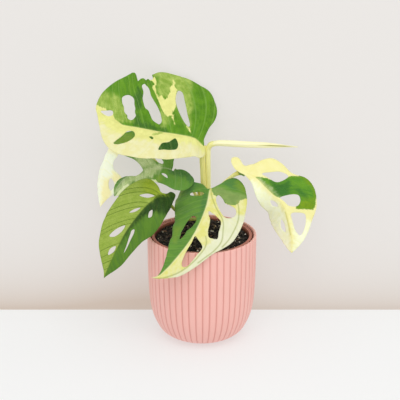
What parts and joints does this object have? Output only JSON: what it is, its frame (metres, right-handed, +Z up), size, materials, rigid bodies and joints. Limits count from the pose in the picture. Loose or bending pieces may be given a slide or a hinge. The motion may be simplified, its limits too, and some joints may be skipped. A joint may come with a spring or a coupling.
{
  "type": "potted monstera adansonii plant",
  "caption": "Young variegated monstera adansonii with holed, cream and green leaves on bent stalks, growing in a grow pot of soil inside a ribbed round-bottomed pink pot.",
  "frame": {"origin": "centre of the flat foot under the outer pot, on the pot's axis", "axes": "+Z up along the pot's axis, -Y towards the side that most leaves face, +X to the right when seen from there"},
  "size_m": [0.2847, 0.1661, 0.3456],
  "materials": {
    "pot_plastic": "satin",
    "grow_pot_plastic": "satin",
    "soil_mix": "matte",
    "stalk_skin": "satin",
    "leaf_top_blade": "satin",
    "leaf_front_blade": "satin",
    "leaf_left_blade": "satin",
    "leaf_right_blade": "satin",
    "leaf_middle_blade": "satin",
    "leaf_rear_blade": "satin",
    "leaf_furled_blade": "satin"
  },
  "bodies": {
    "root": {"pot": "pot_plastic", "grow_pot": "grow_pot_plastic", "soil": "soil_mix", "vine_stem": "stalk_skin", "petiole_top": "stalk_skin", "petiole_furled": "stalk_skin", "petiole_front": "stalk_skin", "petiole_left": "stalk_skin", "petiole_right": "stalk_skin", "petiole_middle": "stalk_skin", "petiole_rear": "stalk_skin", "leaf_top": "leaf_top_blade", "leaf_front": "leaf_front_blade", "leaf_left": "leaf_left_blade", "leaf_right": "leaf_right_blade", "leaf_middle": "leaf_middle_blade", "leaf_rear": "leaf_rear_blade", "leaf_furled": "leaf_furled_blade"}
  },
  "joints": []
}
